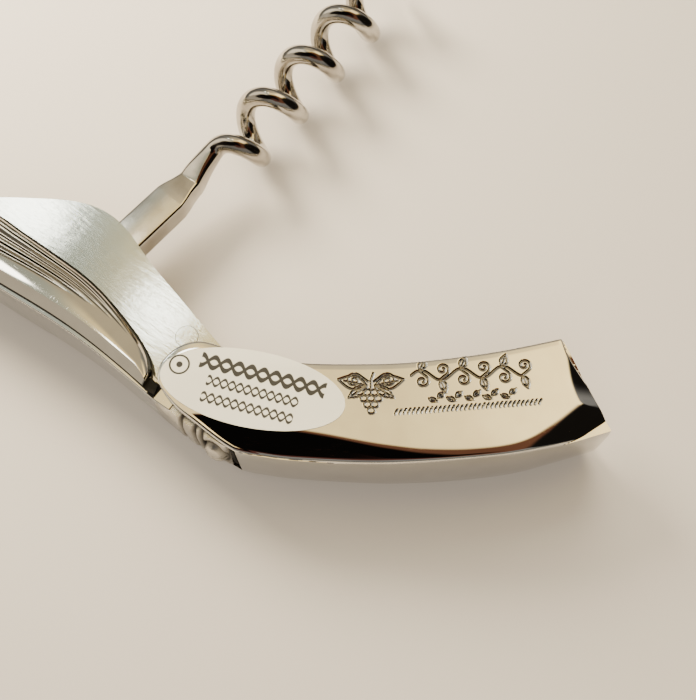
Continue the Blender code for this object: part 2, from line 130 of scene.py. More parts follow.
# Lever outline: belly edge and back line from the heel to the tip.
LEVER_BELLY = [(-5.1, -2.2), (-5.25, -1.2), (-4.75, 0.6), (-2.7, 2.6), (0.0, 3.3), (2.8, 2.6),
               (6.4, 1.2), (13.2, 0.3), (19.0, 0.12), (26.2, 0.26), (32.8, 0.96), (39.3, 1.93),
               (47.6, 3.7), (52.0, 4.75), (60.0, 6.9)]
LEVER_BACK = [(-5.1, -2.2), (-4.6, -3.4), (-2.4, -6.0), (0.2, -8.0), (3.2, -10.2), (5.0, -11.3),
              (8.5, -12.0), (13.0, -12.55), (24.0, -13.1), (35.0, -12.5), (43.6, -11.3),
              (53.2, -8.6), (60.0, -6.4)]
LEVER_TIP = [(47.6, 3.7), (48.3, 1.2), (50.2, -2.0), (52.6, -5.2), (54.2, -6.8), (54.4, -7.6),
             (53.2, -8.6)]


# ------------------------ curves and numbers

def smooth(points, steps=6):
    """Points on a Catmull-Rom curve through the given ones, its two ends included."""
    ends = [points[0]] + list(points) + [points[-1]]
    curve = []
    for before, start, end, after in zip(ends, ends[1:], ends[2:], ends[3:]):
        for step in range(steps):
            t = step / steps
            curve.append(tuple(
                0.5 * (2 * b + (c - a) * t + (2 * a - 5 * b + 4 * c - d) * t ** 2
                       + (3 * b - a - 3 * c + d) * t ** 3)
                for a, b, c, d in zip(before, start, end, after)))
    return curve + [tuple(points[-1])]


def evenly(points, count):
    """A smooth curve through the points, as count + 1 points at equal distances."""
    curve = np.array(smooth(points, 16))
    steps = np.hypot(*np.diff(curve, axis=0).T)
    along = np.concatenate([[0.0], np.cumsum(steps)])
    places = np.linspace(0.0, along[-1], count + 1)
    return np.stack([np.interp(places, along, curve[:, axis]) for axis in range(2)], axis=1)


def line_at(points, x):
    """Height of a smooth curve over x, for points in order of x."""
    curve = np.array(smooth(points, 12))
    return np.interp(x, curve[:, 0], curve[:, 1])


def ease(low, high, value):
    t = np.clip((value - low) / (high - low), 0.0, 1.0)
    return t * t * (3.0 - 2.0 * t)


def arc(centre, radius, start, end, count):
    angles = [math.radians(start + (end - start) * step / count) for step in range(count + 1)]
    return [(centre[0] + radius * math.cos(a), centre[1] + radius * math.sin(a)) for a in angles]


def circle(centre, radius, sides=48):
    return arc(centre, radius, 0.0, 360.0, sides)[:-1]


# ------------------------ making pieces

def place(piece, place_in, body, slot_name, material, replaced=()):
    piece.matrix_world = place_in
    piece.data.materials.append(material)
    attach(piece, body)
    if replaced:
        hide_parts(*replaced)
    return piece


def piece_from(name, builder, sharp_angle=30.0, merge=0.0):
    if merge:
        bmesh.ops.remove_doubles(builder, verts=builder.verts, dist=merge * MM)
    bmesh.ops.recalc_face_normals(builder, faces=builder.faces)
    mesh = bpy.data.meshes.new(name)
    builder.to_mesh(mesh)
    builder.free()
    mesh.shade_smooth()
    mesh.set_sharp_from_angle(angle=math.radians(sharp_angle))
    piece = bpy.data.objects.new(name, mesh)
    bpy.context.collection.objects.link(piece)
    return piece


def grid_faces(builder, rows, closed=False):
    """Quads between rows of points; closed joins each row's end to its start."""
    verts = [[builder.verts.new(Vector(point) * MM) for point in row] for row in rows]
    for near, far in zip(verts, verts[1:]):
        count = len(near)
        for a in range(count if closed else count - 1):
            b = (a + 1) % count
            builder.faces.new((near[a], near[b], far[b], far[a]))
    return verts


def slab_mesh(outline, low, high):
    """A flat plate between two heights."""
    builder = bmesh.new()
    kept = [p for p, before in zip(outline, [outline[-1]] + list(outline))
            if math.dist(p, before) > 0.01]
    corners = [builder.verts.new((x * MM, y * MM, low * MM)) for x, y in kept]
    edges = [builder.edges.new(pair) for pair in zip(corners, corners[1:] + corners[:1])]
    bmesh.ops.triangle_fill(builder, use_beauty=True, edges=edges)
    raised = bmesh.ops.extrude_face_region(builder, geom=builder.faces[:])
    tops = [item for item in raised["geom"] if isinstance(item, bmesh.types.BMVert)]
    bmesh.ops.translate(builder, verts=tops, vec=(0.0, 0.0, (high - low) * MM))
    return builder


def round_edges(piece, width, segments=3):
    edge = piece.modifiers.new("edges", "BEVEL")
    edge.width = width * MM
    edge.segments = segments
    edge.limit_method = "ANGLE"
    edge.angle_limit = math.radians(40.0)
    edge.harden_normals = True
    return piece


# ------------------------ shader maths

class Shade:
    """A socket of a material's nodes, with arithmetic that adds Math nodes."""

    def __init__(self, tree, socket):
        self.tree = tree
        self.socket = socket

    def node(self, kind, settings=None, output=0, **inputs):
        made = self.tree.nodes.new(kind)
        for key, value in (settings or {}).items():
            setattr(made, key, value)
        for key, value in inputs.items():
            name = int(key[1:]) if key[0] == "i" and key[1:].isdigit() else key.replace("_", " ")
            target = made.inputs[name]
            if isinstance(value, Shade):
                self.tree.links.new(value.socket, target)
            else:
                target.default_value = value
        return Shade(self.tree, made.outputs[output])

    def math(self, operation, *values):
        inputs = {"i" + str(index): value for index, value in enumerate(values or (self,))}
        return self.node("ShaderNodeMath", {"operation": operation}, **inputs)

    def arithmetic(operation, swapped=False):
        """An arithmetic operator; swapped is for a number that stands before the Shade."""
        def operator(self, other):
            return self.math(operation, *((other, self) if swapped else (self, other)))
        return operator

    __add__, __radd__ = arithmetic("ADD"), arithmetic("ADD", swapped=True)
    __sub__, __rsub__ = arithmetic("SUBTRACT"), arithmetic("SUBTRACT", swapped=True)
    __mul__, __rmul__ = arithmetic("MULTIPLY"), arithmetic("MULTIPLY", swapped=True)
    __truediv__ = arithmetic("DIVIDE")

    def clamp(self):
        return self.node("ShaderNodeClamp", i0=self)

    def squared(self):
        return self * self

    def greater(self, other):
        return self.math("MAXIMUM", self, other)

    def between(self, low, high):
        """0 below low and 1 above high, with a soft step between them."""
        return self.node("ShaderNodeMapRange", {"interpolation_type": "SMOOTHSTEP"}, i0=self,
                         i1=low, i2=high, i3=0.0, i4=1.0)

    def mixed(self, first, second):
        """A colour between first and second, with this value as the factor."""
        return self.node("ShaderNodeMix", {"data_type": "RGBA"}, output=2, i0=self, i6=first,
                         i7=second)

    def noise(self, scale, detail=3.0, roughness=0.5, stretch=(1.0, 1.0, 1.0), turn=0.0):
        """Noise over the piece's own place, scale being features to the metre."""
        place_at = self.node("ShaderNodeTexCoord", output=3)
        held = self.node("ShaderNodeMapping", Vector=place_at, Scale=stretch,
                         Rotation=(0.0, 0.0, turn))
        return self.node("ShaderNodeTexNoise", Vector=held, Scale=scale, Detail=detail,
                         Roughness=roughness)

    def attribute(self, name):
        return self.node("ShaderNodeAttribute", {"attribute_name": name}, output=2)


def new_material(name, **constants):
    """A Principled material, and a Shade to grow its nodes from."""
    material = bpy.data.materials.new(name)
    material.use_nodes = True
    shader = material.node_tree.nodes["Principled BSDF"]
    for key, value in constants.items():
        shader.inputs[key.replace("_", " ")].default_value = value
    return material, Shade(material.node_tree, None)


def finished(material, colour, roughness, relief=None):
    """The material, with its colour, its roughness and perhaps its relief fed."""
    tree = material.node_tree
    shader = tree.nodes["Principled BSDF"]
    for socket, value in (("Base Color", colour), ("Roughness", roughness), ("Normal", relief)):
        if value:
            tree.links.new(value.socket, shader.inputs[socket])
    return material


def bumped(start, height, distance, strength=1.0):
    return start.node("ShaderNodeBump", Height=height, Distance=distance * MM, Strength=strength)


# ------------------------ materials

def polished_steel(name="polished_steel", tint=(0.68, 0.665, 0.625), roughness=0.05):
    """Mirror polish with buffing haze, a few hairline scratches and a slight waviness."""
    material, start = new_material(name, Metallic=1.0)
    haze = start.noise(160.0, 4.0)
    hairs = start.noise(420.0, 2.0, 0.6, stretch=(1.0, 22.0, 1.0), turn=0.5)
    cross = start.noise(500.0, 2.0, 0.6, stretch=(18.0, 1.0, 1.0), turn=0.2)
    scratches = hairs.between(0.66, 0.72) + cross.between(0.69, 0.74)
    dark = tuple(0.9 * part for part in tint) + (1.0,)
    waves = start.noise(70.0, 1.0)
    relief = waves * 1.0 + scratches * 0.012
    return finished(material, haze.between(0.35, 0.7).mixed(dark, tint + (1.0,)),
                    haze * 0.05 + (roughness - 0.02) + scratches * 0.08,
                    bumped(start, relief, 0.09, 0.35))


def ground_steel(name="ground_steel", tint=(0.585, 0.60, 0.54), turn=0.0, roughness=0.05):
    """Finely ground flat steel: fuzzy short strokes along the piece and small polishing pits."""
    material, start = new_material(name, Metallic=1.0)
    strokes = start.noise(700.0, 4.0, 0.65, stretch=(0.35, 3.0, 1.0), turn=turn)
    swirl = start.noise(260.0, 3.0, 0.6)
    cloud = start.noise(60.0, 2.0)
    dark = tuple(0.88 * part for part in tint) + (1.0,)
    return finished(material, cloud.between(0.3, 0.75).mixed(dark, tint + (1.0,)),
                    roughness + swirl * 0.04 + strokes * 0.03,
                    bumped(start, strokes * 0.9 + swirl * 0.7, 0.02, 0.6))


def worm_steel():
    """Bright drawn wire, a little browner than the plates, with draw marks and handling haze."""
    material, start = new_material("bright_wire", Metallic=1.0)
    haze = start.noise(220.0, 4.0)
    marks = start.noise(900.0, 3.0, 0.6, stretch=(0.5, 2.5, 2.5))
    colour = haze.between(0.3, 0.7).mixed((0.42, 0.39, 0.34, 1.0), (0.58, 0.555, 0.50, 1.0))
    return finished(material, colour, 0.06 + haze * 0.08 + marks * 0.05,
                    bumped(start, marks * 0.5 + haze, 0.02, 0.4))


def engraved_steel():
    """The lever's polish, dull in the engraved lines, which also carry painted shade."""
    material, start = new_material("engraved_steel", Metallic=1.0)
    line = start.attribute("engraving").clamp()
    haze = start.noise(160.0, 4.0)
    hairs = start.noise(420.0, 2.0, 0.6, stretch=(1.0, 22.0, 1.0), turn=0.5)
    scratches = hairs.between(0.66, 0.72)
    face = haze.between(0.35, 0.7).mixed((0.63, 0.61, 0.565, 1.0), (0.69, 0.675, 0.63, 1.0))
    waves = start.noise(70.0, 1.0)
    # Painted shade: the engraved lines are painted near-black; their added roughness is the real
    # dull cut.
    return finished(material, (line * 0.85).mixed(face, (0.10, 0.09, 0.075, 1.0)),
                    haze * 0.05 + 0.02 + scratches * 0.08 + line * 0.28,
                    bumped(start, waves + scratches * 0.012, 0.09, 0.35))


def dark_seam():
    """Painted shade: a near-black, mottled matt finish for the narrow joints and seams."""
    material, start = new_material("dark_seam", Specular_IOR_Level=0.15)
    shade_mottle = start.noise(700.0, 3.0)
    # Painted shade: near-black colour, mottled by noise, standing in for the shade in the joints.
    colour = shade_mottle.between(0.3, 0.75).mixed((0.003, 0.003, 0.002, 1.0), (0.014, 0.012, 0.009, 1.0))
    return finished(material, colour, 0.45 + shade_mottle * 0.3,
                    bumped(start, shade_mottle, 0.03, 0.6))


def dull_engraved_steel():
    """The spring head: brushed and duller than the lever, with painted shade in its grooves."""
    material, start = new_material("dull_engraved_steel", Metallic=1.0)
    line = start.attribute("engraving").clamp()
    haze = start.noise(300.0, 4.0)
    strokes = start.noise(900.0, 3.0, 0.6, stretch=(3.0, 0.5, 1.0), turn=HANDLE_TURN)
    face = haze.between(0.3, 0.7).mixed((0.36, 0.34, 0.30, 1.0), (0.62, 0.60, 0.55, 1.0))
    # Painted shade: the grooves, the boss's ring and its vein are painted near-black; their
    # roughness is the real dull finish.
    return finished(material, (line * 0.97).mixed(face, (0.012, 0.01, 0.008, 1.0)),
                    0.16 + haze * 0.16 + line * 0.55,
                    bumped(start, strokes + haze, 0.03, 0.5))


LABEL_CENTRE = (7.1, -3.4)
LABEL_HALF = (12.2, 5.2)
LABEL_TILT = math.radians(-12.0)
ROW_TILT = math.radians(-15.0)
PRINT_ROWS = [  # height, swing, beat, half width of the pen, start and end along the label
    (2.1, 0.74, 1.9, 0.36, -7.6, 9.2),
    (-0.35, 0.56, 3.0, 0.20, -6.0, 6.3),
    (-2.65, 0.56, 3.0, 0.20, -6.1, 6.2),
]
PRINT_EDGE = 0.05
RING_PLACE = (-9.55, 3.3)
RING_RADIUS = 1.25
RING_PEN = (0.10, 0.16)
DOT_EDGE = (0.38, 0.46)


def printed_row(along, up, row):
    """A plait of two waves, in the ink's share from 0 to 1."""
    height, swing, beat, pen, low, high = row
    wave = (along * beat).math("SINE") * swing
    level = up - height
    strands = [1.0 - (level - wave * sign).math("ABSOLUTE").between(pen - PRINT_EDGE,
                                                                    pen + PRINT_EDGE)
               for sign in (1.0, -1.0)]
    inside = (along - low).between(-0.03, 0.03) * (high - along).between(-0.03, 0.03)
    return strands[0].greater(strands[1]) * inside


def label_paper():
    """Silver-white sticker with a dotted ring and three rows of printed plaits."""
    material, start = new_material("label_paper", Metallic=0.0, Coat_Weight=0.25,
                                   Coat_Roughness=0.25)
    point = start.node("ShaderNodeTexCoord", output=3)
    east = start.node("ShaderNodeSeparateXYZ", output=0, Vector=point) / MM - LABEL_CENTRE[0]
    north = start.node("ShaderNodeSeparateXYZ", output=1, Vector=point) / MM - LABEL_CENTRE[1]
    along = east * math.cos(ROW_TILT) + north * math.sin(ROW_TILT)
    up = north * math.cos(ROW_TILT) - east * math.sin(ROW_TILT)
    reach = ((east - RING_PLACE[0]).squared() + (north - RING_PLACE[1]).squared()).math("SQRT")
    ring = 1.0 - (reach - RING_RADIUS).math("ABSOLUTE").between(*RING_PEN)
    ink = ring.greater(1.0 - reach.between(*DOT_EDGE))
    for row in PRINT_ROWS:
        ink = ink.greater(printed_row(along, up, row))
    fibre = start.noise(1500.0, 3.0)
    cloud = start.noise(90.0, 2.0)
    paper = cloud.between(0.25, 0.8).mixed((0.60, 0.585, 0.475, 1.0), (0.68, 0.66, 0.545, 1.0))
    return finished(material, ink.clamp().mixed(paper, (0.018, 0.017, 0.015, 1.0)),
                    0.36 + fibre * 0.2,
                    bumped(start, fibre + cloud * 2.0, 0.01, 0.4))


def floor_surface():
    """Pale matt table top with very soft clouding."""
    material, start = new_material("pale_table")
    cloud = start.noise(6.0, 2.0)
    grain = start.noise(900.0, 2.0)
    colour = cloud.between(0.3, 0.7).mixed((0.53, 0.492, 0.44, 1.0), (0.56, 0.52, 0.468, 1.0))
    return finished(material, colour, 0.55 + grain * 0.1)


# ------------------------ scales and bolsters

FLUTES = 4
FLUTE_SHARES = np.array([0.0, 0.22, 0.50, 0.70, 1.0])
FLUTE_ENDS = (-8.6, -11.0, -14.5, -18.5)
FLUTE_FADE = 9.0
FLUTE_DEPTH = 0.25
FLUTE_SPREAD = [(-92.0, 0.62), (-60.0, 0.64), (-44.0, 0.62), (-37.0, 0.56), (-27.0, 0.45),
                (-20.0, 0.42), (-14.0, 0.36), (-9.0, 0.22), (-4.0, 0.12)]
PLAIN_SPREAD = 0.3
RIDGE_IN = 1.3
RIDGE_SLOPE = 0.85
CROWN_FALL = 0.75
BELLY_CHAMFER = 0.75
CHAMFER_SLOPE = 0.62
CHAMFER_ROUND = 0.3
UNDERCUT = 0.6
UNDERCUT_RISE = 0.4
# Length and drop of the rounded ends, at the butt's side and at the nose's side.
SCALE_ENDS = ((0.5, 0.4), (0.5, 0.5))
CAP_ENDS = ((2.2, 1.5), (0.5, 0.4))


def crown_lanes(x, width, fluted):
    """Distances from the back edge that bound the ridge, the plain part and the flutes."""
    ridge = min(RIDGE_IN, 0.36 * width)
    lip = width - min(BELLY_CHAMFER, 0.25 * width)
    spread = float(line_at(FLUTE_SPREAD, x)) if fluted else PLAIN_SPREAD
    start = max(lip - spread * width, ridge + 0.08 * width)
    return [0.0, ridge] + list(start + (lip - start) * FLUTE_SHARES) + [width]


def flute_hollow(x, e, lanes):
    """Depth of the flutes, each of which fades out at its own place towards the nose."""
    depth = np.zeros(len(e))
    for number, end in enumerate(FLUTE_ENDS):
        low, high = lanes[-3 - number], lanes[-2 - number]
        share = np.clip((e - low) / max(high - low, 0.01), 0.0, 1.0)
        deepest = FLUTE_DEPTH * float(ease(end, end - FLUTE_FADE, x)) * min(1.0, high - low)
        depth += (0.5 - 0.5 * np.cos(2.0 * np.pi * share)) * deepest
    return depth


def crown_height(x, width, e, lanes, fluted):
    """Height of a scale's face at distances e from its back edge."""
    ridge, lip = lanes[1], lanes[-2]
    across = np.clip((e - ridge) / max(width - ridge, 0.01), 0.0, 1.0)
    into = np.clip(e - lip, 0.0, None)
    height = HALF - RIDGE_SLOPE * np.clip(ridge - e, 0.0, None) - CROWN_FALL * across ** 1.7
    height -= CHAMFER_SLOPE * into + CHAMFER_ROUND * (into / max(width - lip, 0.01)) ** 6
    return height - flute_hollow(x, e, lanes) if fluted else height


def lane_points(lanes, counts):
    parts = [np.linspace(low, high, count + 1)[:-1]
             for low, high, count in zip(lanes, lanes[1:], counts)]
    return np.concatenate(parts + [np.array([lanes[-1]])])


def end_round(gap, length, most):
    """Drop of a rounded end, most at the end itself and none at its length from it."""
    into = 1.0 - min(1.0, max(gap / length, 0.0))
    return most * (1.0 - math.sqrt(1.0 - into ** 2))


def crowned_piece(name, belly, back, side, material, node, fluted, stations):
    """A scale or bolster cap: flat inside, with a ridge, flutes and rounded edges outside."""
    start, end = belly[0][0], belly[-1][0]
    counts = (12, 14) + (12,) * FLUTES + (14,)
    butt_end, nose_end = SCALE_ENDS if fluted else CAP_ENDS
    foot = SCALE_INNER + UNDERCUT_RISE
    rows = []
    for share in np.linspace(0.0, 1.0, stations + 1):
        x = start + (end - start) * (1.0 - (1.0 - share) ** 1.25 if fluted else share)
        low, high = float(line_at(back, x)), float(line_at(belly, x))
        width = high - low
        lanes = crown_lanes(x, width, fluted)
        e = lane_points(lanes, counts)
        height = crown_height(x, width, e, lanes, fluted)
        drop = end_round(x - start, *butt_end) + end_round(end - x, *nose_end)
        height = np.maximum(height - drop, foot + 0.05)
        rim = min(UNDERCUT, 0.25 * width)
        outer = [(x, low + a, side * z) for a, z in zip(e, height)]
        wall = [(x, high, side * foot), (x, high - rim, side * SCALE_INNER)]
        base = [(x, low + width * t, side * SCALE_INNER) for t in (0.7, 0.3)]
        back_wall = [(x, low + rim, side * SCALE_INNER), (x, low, side * foot)]
        rows.append(outer + wall + base + back_wall)
    builder = bmesh.new()
    verts = grid_faces(builder, rows, closed=True)
    builder.faces.new(verts[0])
    builder.faces.new(verts[-1][::-1])
    piece = piece_from(name, builder, 38.0, merge=0.0005)
    return place(piece, HANDLE_FRAME, "handle", "polished_steel", material, (node,))


def make_scales(metal):
    for side, word in ((1, "left"), (-1, "right")):
        crowned_piece("fluted_scale_" + word, SCALE_BELLY, SCALE_BACK, side, metal,
                      "scale_" + word, True, 260)
        crowned_piece("bolster_cap_" + word, BOLSTER_BELLY, BOLSTER_BACK, side, metal,
                      "rear_bolster_" + word, False, 90)


# ------------------------ liners, springs, spacer

def liner_outline():
    """The side plate's outline, with its corner behind the spring's head left open."""
    start = math.degrees(math.asin(LINER_STEP[1] / NOSE_RADIUS))
    nose = arc((0.0, 0.0), NOSE_RADIUS, start, 6.0, 24)
    return nose + [(9.7, 1.6), (8.6, 2.16)] + smooth(HUMP_LINE, 10) + [CORNER, LINER_STEP]


def make_liners(metal):
    for side, word in ((1, "left"), (-1, "right")):
        low, high = sorted((side * LINER_INNER, side * LINER_OUTER))
        piece = piece_from("side_plate_" + word, slab_mesh(liner_outline(), low, high), 40.0)
        place(piece, HANDLE_FRAME, "handle", "liner_steel", metal, ("liner_" + word,))
        round_edges(piece, 0.42, 4)


HEAD_GROOVES = (2.4, 4.6, 5.7)
GROOVE_HALF = 0.32
BOSS_PLACE = 7.6
BOSS_HALF = (1.5, 3.0)
BOSS_RISE = 0.75
HEAD_EDGE = 0.4


def head_relief(along, across):
    """Height and painted shade of the spring head's decoration: cross grooves and an oval boss."""
    grooves = sum(np.exp(-((along - at) / GROOVE_HALF) ** 2) for at in HEAD_GROOVES)
    reach = np.hypot((along - BOSS_PLACE) / BOSS_HALF[0], across / BOSS_HALF[1])
    boss = BOSS_RISE * np.clip(1.0 - reach ** 2, 0.0, 1.0) ** 0.5
    vein = np.exp(-(across / 0.3) ** 2) * (reach < 1.0)
    ring = np.exp(-((reach - 1.16) / 0.18) ** 2)
    height = boss - 0.25 * vein - 0.5 * ring - 0.6 * grooves
    # The second value is painted shade, darkest in the grooves and the boss's ring.
    return height, np.clip(0.9 * grooves + 0.9 * ring + 0.6 * vein, 0.0, 1.0)


def make_spring_head(engraved):
    """The spring's wide end, which fills the channel behind the lever's heel."""
    across = np.linspace(-HEAD_HALF, HEAD_HALF, 61)
    start, end = HEAD_BACK[0][0], HEAD_BACK[-1][0]
    builder = bmesh.new()
    layer = builder.verts.layers.float.new("engraving")
    rows, painted_shades = [], []
    for x in np.linspace(start, end, 110):
        edge = 1.0 - (1.0 - min(1.0, (x - start) / HEAD_EDGE, (end - x) / HEAD_EDGE)) ** 2
        crown = 0.5 * (1.0 - (np.abs(across) / HEAD_HALF) ** 4)
        relief, dark = head_relief(x, across)
        height = (crown + relief) * math.sqrt(max(edge, 0.0))
        base = line_at(HEAD_BACK, x) + 0.35
        shift = max(0.0, x - BOSS_PLACE) / 2.7
        top = HEAD_TOP - (HEAD_TOP + 6.1) * shift
        rows.append([(x, base - rise, z) for rise, z in zip(height, across)]
                    + [(x, top, HEAD_HALF), (x, top, -HEAD_HALF)])
        painted_shades.append(list(dark) + [0.0, 0.0])
    verts = grid_faces(builder, rows, closed=True)
    for row, values in zip(verts, painted_shades):
        for vert, value in zip(row, values):
            vert[layer] = value
    builder.faces.new(verts[0])
    builder.faces.new(verts[-1][::-1])
    head = piece_from("spring_head", builder, 42.0)
    return place(head, HANDLE_FRAME, "handle", "polished_steel", engraved, ("back_spring",))


def make_spring_bar(metal):
    """The narrow bar between the plates, which the head is the end of."""
    line = smooth(SPRING_BACK, 8)
    bar = line + BAR_END + [(x, y + SPRING_DEPTH) for x, y in line[-8::-1]]
    spring = piece_from("spring_bar", slab_mesh(bar, -CORE_HALF, CORE_HALF), 40.0)
    place(spring, HANDLE_FRAME, "handle", "polished_steel", metal)
    return round_edges(spring, 0.18)


SEAM_OUT = 0.07
SEAM_RISE = 0.8
SEAM_NOSE = [(-2.75, -5.15), (-2.3, -6.5), (-4.0, -6.62)]
NOSE_JOINT = [(-3.4, -6.8), (-2.2, -6.85), (-2.2, -5.0), (-3.4, -4.9)]
NOSE_JOINT_HALF = SCALE_INNER + 0.38
HEEL_GAP = [(8.9, -5.9), (9.9, -5.8), (10.3, -4.3), (8.9, -4.3)]
HEEL_GAP_HALF = 4.5


def make_seams(dark):
    """Painted shade: near-black layers under the scales, and in the joints at the spring head's
    two ends.
    """
    belly = [(x, y + SEAM_OUT) for x, y in smooth(SCALE_BELLY, 6)]
    back = [(x, y - SEAM_OUT) for x, y in smooth(SCALE_BACK, 6)]
    outline = belly + SEAM_NOSE + back[::-1]
    heights = sorted((LINER_OUTER, SCALE_INNER + SEAM_RISE))
    seams = [("painted_shade_layer_left", outline, heights[0], heights[1]),
             ("painted_shade_layer_right", outline, -heights[1], -heights[0]),
             ("painted_shade_gap", HEEL_GAP, -HEEL_GAP_HALF, HEEL_GAP_HALF),
             ("painted_shade_joint", NOSE_JOINT, -NOSE_JOINT_HALF, NOSE_JOINT_HALF)]
    for name, shape, low, high in seams:
        seam = piece_from(name, slab_mesh(shape, low, high), 40.0)
        place(seam, HANDLE_FRAME, "handle", "liner_steel", dark)


# ------------------------ rivets and pins

HEAD_DEPTH = 0.8
HEAD_SINK = 0.03
FRONT_RIVET = (-4.6, 2.5)
FRONT_RIVET_RADIUS = 1.5
FRONT_RIVET_PROUD = 0.03
FRONT_SEAM = 0.07
SCALE_RIVET_RADIUS, SCALE_RIVET_LIFT = 1.0, 0.17
HIDDEN_RIVET_RADIUS, HIDDEN_RIVET_HALF = 0.9, 5.2
BLADE_HEAD_RADIUS, BLADE_HEAD_LIFT, BLADE_HEAD_SINK = 1.6, 0.22, 0.05
LEVER_HEAD_RADIUS, LEVER_HEAD_LIFT = 1.7, 0.14


def dome(name, centre, radius, height, lift, side, metal):
    """The head of a rivet or pin, as a very low dome on an outer face."""
    turns = np.linspace(0.0, 2.0 * np.pi, 49)[:-1]
    rows = []
    for share in np.linspace(0.0, 1.0, 9)[:-1]:
        reach = radius * math.cos(share * math.pi / 2)
        level = height + lift * math.sin(share * math.pi / 2)
        rows.append([(centre[0] + reach * math.cos(a), centre[1] + reach * math.sin(a),
                      side * level) for a in turns])
    foot = [(x, y, z - side * HEAD_DEPTH) for x, y, z in rows[0]]
    builder = bmesh.new()
    verts = grid_faces(builder, [foot] + rows, closed=True)
    builder.faces.new(verts[0][::-1])
    builder.faces.new(verts[-1])
    return place(piece_from(name, builder, 50.0), HANDLE_FRAME, "handle", "rivet_steel", metal)


def crown_level(x, y, belly, back, fluted):
    """Height of a scale's or bolster's outer face at a place."""
    low, high = float(line_at(back, x)), float(line_at(belly, x))
    lanes = crown_lanes(x, high - low, fluted)
    return float(crown_height(x, high - low, np.array([y - low]), lanes, fluted)[0])


def make_front_rivet(metal, dark):
    """A flush rivet in the side plates, with a fine dark seam round it."""
    flush = LINER_OUTER + FRONT_RIVET_PROUD
    discs = (("front_rivet_seam", FRONT_RIVET_RADIUS + FRONT_SEAM, flush - 0.02, dark, ()),
             ("front_rivet_heads", FRONT_RIVET_RADIUS, flush, metal, ("front_rivet",)))
    for name, radius, level, look, replaced in discs:
        outline = circle(FRONT_RIVET, radius, 64)
        disc = piece_from(name, slab_mesh(outline, -level, level), 40.0)
        place(disc, HANDLE_FRAME, "handle", "rivet_steel", look, replaced)
        round_edges(disc, 0.02, 2)


def make_heads(metal):
    """The heads of the scales' rear rivet and of the blade's pin, on both sides."""
    rear = centre_in_handle("handle_rivet_rear")
    rear_level = crown_level(*rear, SCALE_BELLY, SCALE_BACK, True) - HEAD_SINK
    pin_level = crown_level(*BLADE_PIVOT, BOLSTER_BELLY, BOLSTER_BACK, False) - BLADE_HEAD_SINK
    for side, word in ((1, "left"), (-1, "right")):
        dome("rear_rivet_head_" + word, rear, SCALE_RIVET_RADIUS, rear_level, SCALE_RIVET_LIFT,
             side, metal)
        dome("blade_pin_head_" + word, BLADE_PIVOT, BLADE_HEAD_RADIUS, pin_level,
             BLADE_HEAD_LIFT, side, metal)


def make_hidden_rivet(metal):
    """The scales' front rivet, which ends under their crowns."""
    outline = circle(centre_in_handle("handle_rivet_front"), HIDDEN_RIVET_RADIUS)
    rivet = piece_from("front_scale_rivet",
                       slab_mesh(outline, -HIDDEN_RIVET_HALF, HIDDEN_RIVET_HALF), 40.0)
    place(rivet, HANDLE_FRAME, "handle", "rivet_steel", metal, ("handle_rivet_front",))


def make_lever_head(metal):
    """The lever pin's head, which shows on the lever's right side only."""
    dome("lever_pin_head", (0.0, 0.0), LEVER_HEAD_RADIUS, HALF - HEAD_SINK, LEVER_HEAD_LIFT, -1,
         metal)


# ------------------------ worm

TANG_SECTIONS = [  # along, half width, half thickness, corner radius
    (-3.25, 0.6, 1.85, 0.4), (-2.9, 1.6, 1.85, 0.42), (-1.8, 2.5, 1.85, 0.42),
    (0.0, 2.75, 1.85, 0.42), (4.0, 2.62, 1.85, 0.42), (14.9, 2.58, 1.80, 0.42),
    (16.0, 2.36, 1.78, 0.42), (17.4, 2.0, 1.74, 0.5), (18.6, 1.82, 1.7, 0.6),
    (20.4, 1.72, 1.66, 0.75), (22.2, 1.6, 1.58, 1.0), (24.6, 1.47, 1.47, 1.3),
    (27.0, 1.42, 1.42, 1.42)]
COIL_START, COIL_FULL, COIL_END = 18.8, 31.0, 71.0
COIL_PITCH, COIL_CREST, COIL_LEAD, COIL_RADIUS = 9.5, 26.7, math.radians(52.0), 3.45
COIL_DRIFT, COIL_CROSSING = 0.088, 41.0
WIRE_RADIUS = 1.42
POINT_LENGTH = 6.5


def worm_centre(along):
    """The wire's centre line: it leaves the neck sideways and lags before its first crest."""
    turn = 2.0 * math.pi * (along - COIL_CREST) / COIL_PITCH
    turn = turn if turn > 0.0 else COIL_LEAD * math.tanh(turn / COIL_LEAD)
    ramp = min(1.0, max(0.0, (along - COIL_START) / (COIL_FULL - COIL_START)))
    soft = ramp * ramp / (ramp + 0.08) * 1.08
    left = max(0.0, (along - COIL_END + POINT_LENGTH) / POINT_LENGTH)
    reach = COIL_RADIUS * (1.0 - (1.0 - soft) ** 2) * (1.0 - 0.16 * left)
    lean = COIL_DRIFT * (along - COIL_CROSSING) * float(ease(COIL_START, COIL_CREST, along))
    return Vector((along, lean - math.sin(turn) * reach, math.cos(turn) * reach))


def worm_section(along):
    if along >= TANG_SECTIONS[-1][0]:
        left = max(0.0, (along - COIL_END + POINT_LENGTH) / POINT_LENGTH)
        radius = WIRE_RADIUS * (1.0 - left ** 1.5) + 0.05
        return radius, radius, radius
    table = np.array(TANG_SECTIONS)
    return tuple(float(np.interp(along, table[:, 0], table[:, column])) for column in (1, 2, 3))


def rounded_box(half_width, half_height, corner, arc_points=7):
    """Points round a box with round corners, the same number whatever its size."""
    corner = min(corner, half_width * 0.999, half_height * 0.999)
    points = []
    for quarter, (sx, sy) in enumerate(((1, 1), (-1, 1), (-1, -1), (1, -1))):
        centre = (sx * (half_width - corner), sy * (half_height - corner))
        points += arc(centre, corner, 90.0 * quarter, 90.0 * quarter + 90.0, arc_points)
    return points


